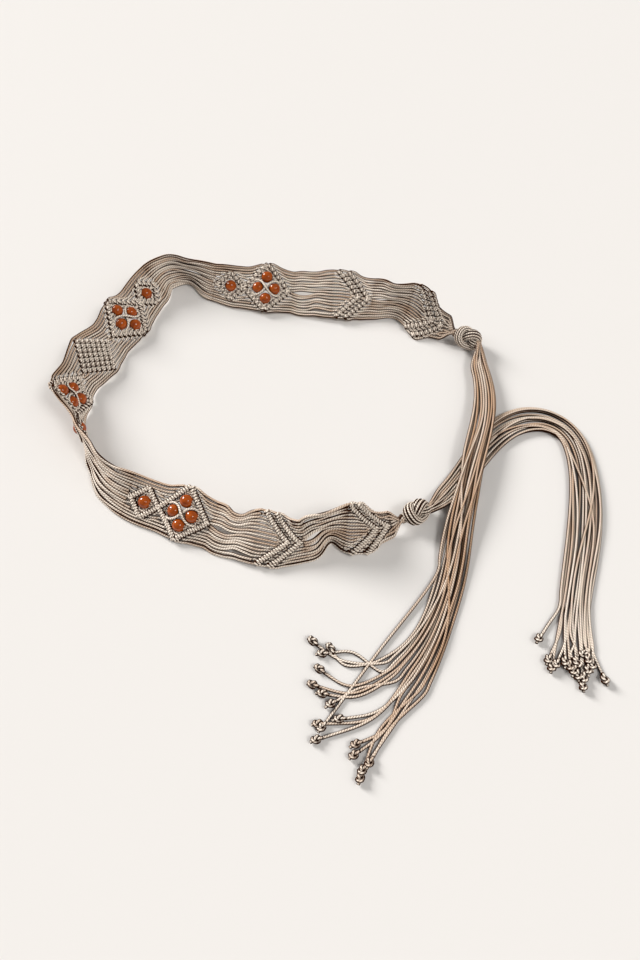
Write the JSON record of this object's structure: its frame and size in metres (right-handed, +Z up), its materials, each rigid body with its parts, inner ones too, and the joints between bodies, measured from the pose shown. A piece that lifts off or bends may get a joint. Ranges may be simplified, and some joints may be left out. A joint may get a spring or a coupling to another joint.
{
  "type": "beaded macrame tie belt",
  "caption": "Knotted cord tie belt with round wood beads in knotted diamonds, chevron rows, a knot at each end of the band and long fringed cord ends, lying in an open loop.",
  "frame": {"origin": "middle of the belt's footprint, on the table it lies on", "axes": "+Z up from the table, +X to the right along the loop's long way, towards the fringes, +Y away from the near side of the loop"},
  "size_m": [0.4228, 0.4188, 0.0375],
  "materials": {
    "cord": "satin twisted cord",
    "bead": "satin varnish"
  },
  "bodies": {
    "root": {"centre_weave": "cord", "bead_panel_inner_near": "cord", "inner_run_near": "cord", "bead_panel_outer_near": "cord", "middle_run_near": "cord", "first_chevrons_near": "cord", "outer_run_near": "cord", "second_chevrons_near": "cord", "gather_near": "cord", "knot_near": "cord", "tail_near": "cord", "bead_panel_inner_far": "cord", "inner_run_far": "cord", "bead_panel_outer_far": "cord", "middle_run_far": "cord", "first_chevrons_far": "cord", "outer_run_far": "cord", "second_chevrons_far": "cord", "gather_far": "cord", "knot_far": "cord", "tail_far": "cord", "bead_inner_near_single": "bead", "bead_inner_near_cluster_1": "bead", "bead_inner_near_cluster_2": "bead", "bead_inner_near_cluster_3": "bead", "bead_inner_near_cluster_4": "bead", "bead_outer_near_single": "bead", "bead_outer_near_cluster_1": "bead", "bead_outer_near_cluster_2": "bead", "bead_outer_near_cluster_3": "bead", "bead_outer_near_cluster_4": "bead", "bead_inner_far_single": "bead", "bead_inner_far_cluster_1": "bead", "bead_inner_far_cluster_2": "bead", "bead_inner_far_cluster_3": "bead", "bead_inner_far_cluster_4": "bead", "bead_outer_far_single": "bead", "bead_outer_far_cluster_1": "bead", "bead_outer_far_cluster_2": "bead", "bead_outer_far_cluster_3": "bead", "bead_outer_far_cluster_4": "bead"}
  },
  "joints": []
}
